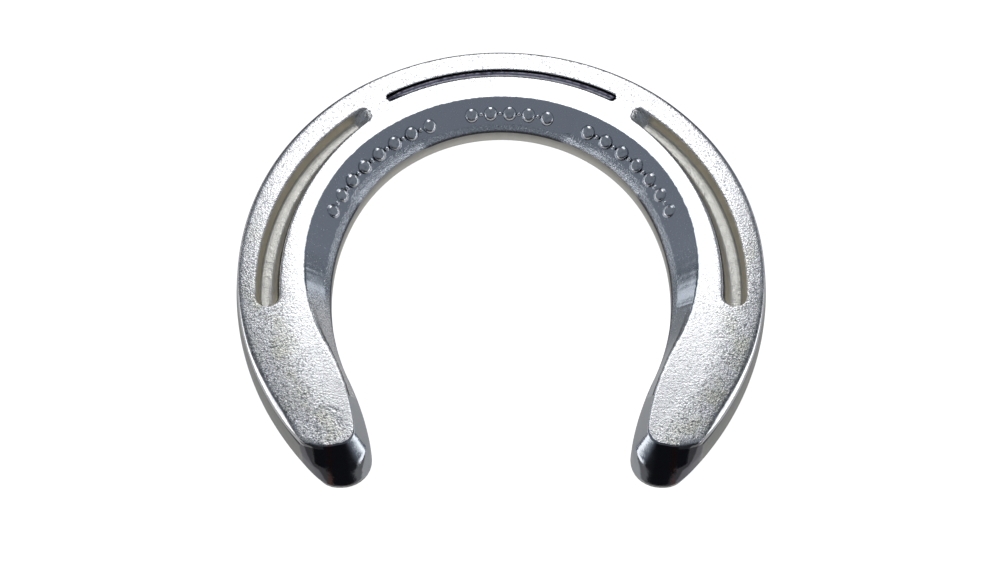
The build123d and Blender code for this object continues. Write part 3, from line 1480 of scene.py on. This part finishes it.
@dataclass(frozen=True)
class FloorFinish(Finish):
    """Pale matt paper."""

    name: str = "floor_paper"
    metallic: float = 0.0
    glow: float = 0.93
    paper: Triple = (0.86, 0.86, 0.86)
    tooth: Triple = (0.88, 0.88, 0.88)

    def dress(self, graph: Graph) -> dict:
        """Return the shader's inputs by name."""
        tooth = graph.noise(3.0)
        return {
            "Base Color": graph.blend(tooth, self.paper, self.tooth),
            "Roughness": 0.9,
            "Specular IOR Level": 0.0,
            "Emission Color": (1.0, 1.0, 1.0),
            "Emission Strength": self.glow,
        }


@dataclass(frozen=True)
class CardFinish(FloorFinish):
    """Mid-grey matt paper that glows, seen only in reflections as painted shade of the floor, with a dark
    mat in front of the heels as painted shade there.
    """

    name: str = "card_paper"
    # The card glows: painted shade of the floor, seen only in the metal's reflections.
    glow: float = 0.24
    paper: Triple = (0.1, 0.1, 0.1)
    tooth: Triple = (0.14, 0.14, 0.14)
    light: Triple = (1.0, 1.0, 1.0)
    # Painted shade: the dark patch in front of the heels, which the heel faces mirror.
    mat: Triple = (0.05, 0.05, 0.055)
    mat_edge: float = -59.0

    def dress(self, graph: Graph) -> dict:
        """Return the shader's inputs by name."""
        in_front = graph.ease(graph.axes[1], self.mat_edge, self.mat_edge - 2.5)
        return {**super().dress(graph), "Emission Color": graph.blend(in_front, self.light, self.mat)}


# --- studio


@dataclass(frozen=True)
class Studio:
    """The floor, the key softbox, the dim room round them and the camera."""

    floor_size: float = 6.0
    key_elevation: float = 47.5
    key_distance: float = 1.2
    key_size: tuple[float, float] = (0.62, 0.88)
    key_power: float = 2.3
    air_low: Triple = (0.16, 0.18, 0.21)
    air_high: Triple = (0.15, 0.165, 0.19)
    dark: Triple = (0.014, 0.015, 0.018)
    skyline: Triple = (1.5, 1.52, 1.56)
    backdrop: Triple = (1.0, 1.0, 1.0)
    camera_place: Triple = (0.0, -0.26655, 0.53928)
    camera_aim: Triple = (0.0, -0.00353, 0.0)
    lens: float = 88.13
    shift_x: float = -0.0012

    def build(self) -> None:
        """Set up the whole studio."""
        self._floor()
        self._key_softbox()
        self._room()
        self._camera()

    def _floor(self) -> None:
        """Lay the pale floor, and under it the glowing grey card that the metal mirrors as painted shade of
        the floor.
        """
        floor = self._sheet("floor", -0.0001, FloorFinish())
        floor.visible_glossy = False
        card = self._sheet("grey_card", -0.0003, CardFinish())
        card.visible_camera = False

    def _sheet(self, name: str, height: float, finish: Finish) -> bpy.types.Object:
        """Lay one flat sheet.

        Args:
            name: The sheet's name.
            height: Its height in metres.
            finish: What it is covered with.

        Returns:
            The sheet.
        """
        mesh = bpy.data.meshes.new(name)
        half = self.floor_size / 2.0
        corners = [(x, y, 0.0) for x, y in ((-half, -half), (half, -half), (half, half), (-half, half))]
        mesh.from_pydata(corners, [], [(0, 1, 2, 3)])
        mesh.materials.append(finish.material())
        sheet = bpy.data.objects.new(name, mesh)
        sheet.location.z = height
        bpy.context.scene.collection.objects.link(sheet)
        return sheet

    def _key_softbox(self) -> None:
        """Hang the rectangular light beyond the toe, facing the shoe."""
        light = bpy.data.lights.new("key_softbox", "AREA")
        light.shape = "RECTANGLE"
        light.size, light.size_y = self.key_size
        light.energy = self.key_power
        piece = bpy.data.objects.new("key_softbox", light)
        lift = math.radians(self.key_elevation)
        away = Vector((0.0, math.cos(lift), math.sin(lift)))
        piece.location = away * self.key_distance
        piece.rotation_euler = away.to_track_quat("Z", "Y").to_euler()
        bpy.context.scene.collection.objects.link(piece)

    def _room(self) -> None:
        """Colour the room: dim blue-grey, darker low down on the near side, pale as a backdrop."""
        world = bpy.data.worlds.new("room")
        bpy.context.scene.world = world
        world.use_nodes = True
        graph = Graph(world.node_tree)
        direction = graph.add("ShaderNodeTexCoord").outputs["Generated"]
        x, y, z = graph.split(direction)
        near = graph.ease(y, -0.5, -0.85)
        far = graph.ease(y, 0.3, 0.75) * graph.ease(z, 0.5, 0.36)
        air = graph.blend(graph.ease(z, 0.1, 0.95), self.air_low, self.air_high)
        dim = graph.blend(near * graph.ease(z, 0.62, 0.3) + far, air, self.dark)
        skyline = (1.0 - near) * graph.ease(z, 0.28, 0.12) * graph.ease(abs(x), 0.55, 0.8)
        room = graph.blend(skyline, dim, self.skyline)
        seen = Signal(graph, graph.add("ShaderNodeLightPath").outputs["Is Camera Ray"])
        colour = graph.blend(seen, room, self.backdrop)
        background = graph.add("ShaderNodeBackground", None, {"Color": colour, "Strength": 1.0})
        graph.add("ShaderNodeOutputWorld", None, {"Surface": background.outputs[0]})

    def _camera(self) -> None:
        """Stand the camera in front of the heels, tilted down at the shoe."""
        camera = bpy.data.cameras.new("camera")
        camera.lens = self.lens
        camera.sensor_width = 36.0
        camera.shift_x = self.shift_x
        camera.clip_start = 0.01
        piece = bpy.data.objects.new("camera", camera)
        piece.location = self.camera_place
        gaze = Vector(self.camera_aim) - Vector(self.camera_place)
        piece.rotation_euler = gaze.to_track_quat("-Z", "Y").to_euler()
        bpy.context.scene.collection.objects.link(piece)
        bpy.context.scene.camera = piece
        bpy.context.scene.view_settings.view_transform = "Standard"


def main() -> None:
    """Build the studio and every piece, and report each."""
    logging.basicConfig(level=logging.INFO, format="%(name)s: %(message)s")
    form = ShoeForm()
    Studio().build()
    makers = (
        CastBody(form),
        WearStrip(form),
        SeatBorder(form, "seat_border_left", -66.0, -20.0),
        SeatBorder(form, "seat_border_middle", -11.0, 16.0),
        SeatBorder(form, "seat_border_right", 25.0, 66.0),
    )
    for maker in makers:
        piece = maker.build()
        LOG.info("%s: %d points, %d faces", piece.name, len(piece.data.vertices), len(piece.data.polygons))
    bpy.context.view_layer.update()


if __name__ == "__main__":
    main()
